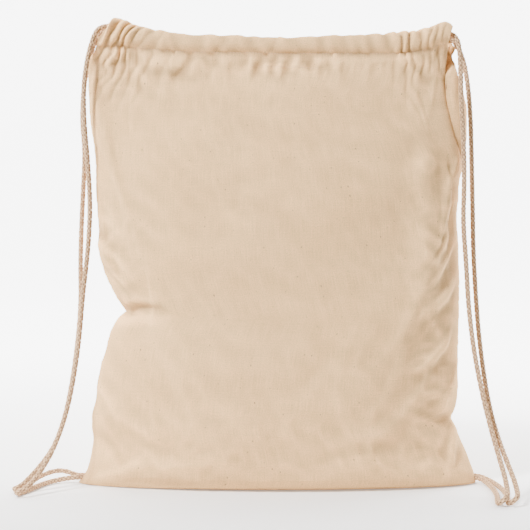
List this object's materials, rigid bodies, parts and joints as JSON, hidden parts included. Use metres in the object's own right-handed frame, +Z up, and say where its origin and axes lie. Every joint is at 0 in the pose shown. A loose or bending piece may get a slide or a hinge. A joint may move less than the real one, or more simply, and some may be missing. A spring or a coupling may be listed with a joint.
{
  "type": "drawstring backpack",
  "caption": "Upright cotton sack with a stitched casing along its mouth; braided drawcords run through the casing and down to the bottom corners as shoulder straps.",
  "frame": {"origin": "on the floor, under the middle of the bag's bounding box without its free cords", "axes": "+X to the right seen from the front, -Y towards the front, +Z up to the mouth"},
  "size_m": [0.4583, 0.1669, 0.439],
  "materials": {
    "cotton_cloth": "undyed plain-weave cotton with dark seed flecks",
    "sewing_thread": "undyed cotton sewing thread",
    "label_tape": "blank woven cotton tape",
    "cotton_cord": "braided undyed cotton cord"
  },
  "bodies": {
    "bag": {"front_panel": "cotton_cloth", "back_panel": "cotton_cloth", "front_casing": "cotton_cloth", "back_casing": "cotton_cloth", "left_side_seam": "cotton_cloth", "right_side_seam": "cotton_cloth", "bottom_seam": "cotton_cloth", "front_casing_stitching": "sewing_thread", "back_casing_stitching": "sewing_thread", "left_seam_overlock": "sewing_thread", "right_seam_overlock": "sewing_thread", "bottom_seam_overlock": "sewing_thread", "label_stitching": "sewing_thread", "left_corner_tack": "sewing_thread", "right_corner_tack": "sewing_thread", "left_slit_tack": "sewing_thread", "right_slit_tack": "sewing_thread", "inner_label": "label_tape", "left_front_fall": "cotton_cord", "left_back_fall": "cotton_cord", "right_front_fall": "cotton_cord", "right_back_fall": "cotton_cord"},
    "left_cord": {"left_drawcord": "cotton_cord"},
    "right_cord": {"right_drawcord": "cotton_cord"}
  },
  "joints": [
    {"name": "left_cord_pull", "type": "slide", "parent": "bag", "child": "left_cord", "axis": [-1, 0, 0], "range_m": [0, 0.007], "deforming": ["left_front_fall", "left_back_fall"]},
    {"name": "right_cord_pull", "type": "slide", "parent": "bag", "child": "right_cord", "axis": [1, 0, 0], "range_m": [0, 0.007], "deforming": ["right_front_fall", "right_back_fall"]}
  ]
}
